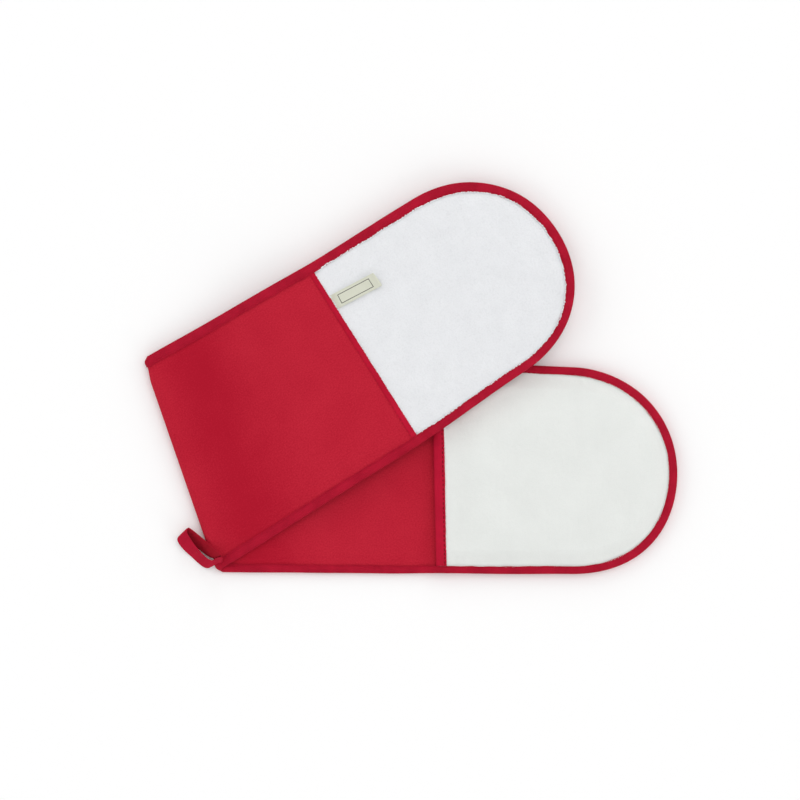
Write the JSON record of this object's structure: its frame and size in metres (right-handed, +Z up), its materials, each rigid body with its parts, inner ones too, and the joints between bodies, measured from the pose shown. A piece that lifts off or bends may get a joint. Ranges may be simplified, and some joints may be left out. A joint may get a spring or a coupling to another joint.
{
  "type": "double oven glove",
  "caption": "Padded cloth strip with a round hand mitt at each end, folded on a slant, with bound edges, open pocket mouths, a hanging loop and a folded tape label.",
  "frame": {"origin": "middle of the folded glove's plan, on the table it lies on", "axes": "+X along the lower arm towards its fingertips, +Y towards the upper arm's side, +Z up from the table"},
  "size_m": [0.4878, 0.3608, 0.0279],
  "materials": {
    "centre_cloth": "plain woven cotton",
    "binding": "bias-cut cotton tape",
    "thread": "spun sewing thread",
    "towelling": "looped towelling",
    "pocket_cloth": "fine towelling",
    "pocket_lining": "plain woven cotton",
    "wadding": "felted fleece",
    "label_tape": "woven tape"
  },
  "bodies": {
    "lower_half": {"lower_back_cloth": "centre_cloth", "lower_palm_towelling": "towelling", "lower_wadding": "wadding", "lower_lining_cloth": "centre_cloth", "lower_pocket_lining": "pocket_lining", "lower_pocket_wadding": "wadding", "lower_pocket_face": "pocket_cloth", "lower_edge_binding": "binding", "lower_mouth_binding": "binding", "lower_edge_thread": "thread", "lower_mouth_thread": "thread", "fold_back_cloth": "centre_cloth", "fold_wadding": "wadding", "fold_lining_cloth": "centre_cloth", "fold_top_binding": "binding", "fold_bottom_binding": "binding"},
    "upper_half": {"upper_back_cloth": "centre_cloth", "upper_palm_towelling": "towelling", "upper_wadding": "wadding", "upper_lining_cloth": "centre_cloth", "upper_pocket_lining": "pocket_lining", "upper_pocket_wadding": "wadding", "upper_pocket_face": "pocket_cloth", "upper_edge_binding": "binding", "upper_mouth_binding": "binding", "upper_edge_thread": "thread", "upper_mouth_thread": "thread", "upper_palm_thread": "thread"},
    "hanging_loop": {"hanging_loop": "binding"},
    "label": {"label": "label_tape"}
  },
  "joints": [
    {"name": "centre_fold", "type": "hinge", "parent": "lower_half", "child": "upper_half", "pos_m": [-0.20621, -0.07844, 0.0046], "axis": [0.3272, -0.9449, 0], "range_deg": [0, 175], "deforming": ["fold_back_cloth", "fold_wadding", "fold_lining_cloth", "fold_top_binding", "fold_bottom_binding"]},
    {"name": "loop_turn", "type": "hinge", "parent": "lower_half", "child": "hanging_loop", "pos_m": [-0.17867, -0.18167, 0], "axis": [0, 0, 1], "range_deg": [0, 131]},
    {"name": "label_flap", "type": "hinge", "parent": "upper_half", "child": "label", "pos_m": [-0.06913, 0.06922, 0.01976], "axis": [0.4509, -0.8926, 0], "range_deg": [0, 110]}
  ],
  "couplings": [
    {"joint": "loop_turn", "follows": "centre_fold", "ratio": 0.7429}
  ]
}
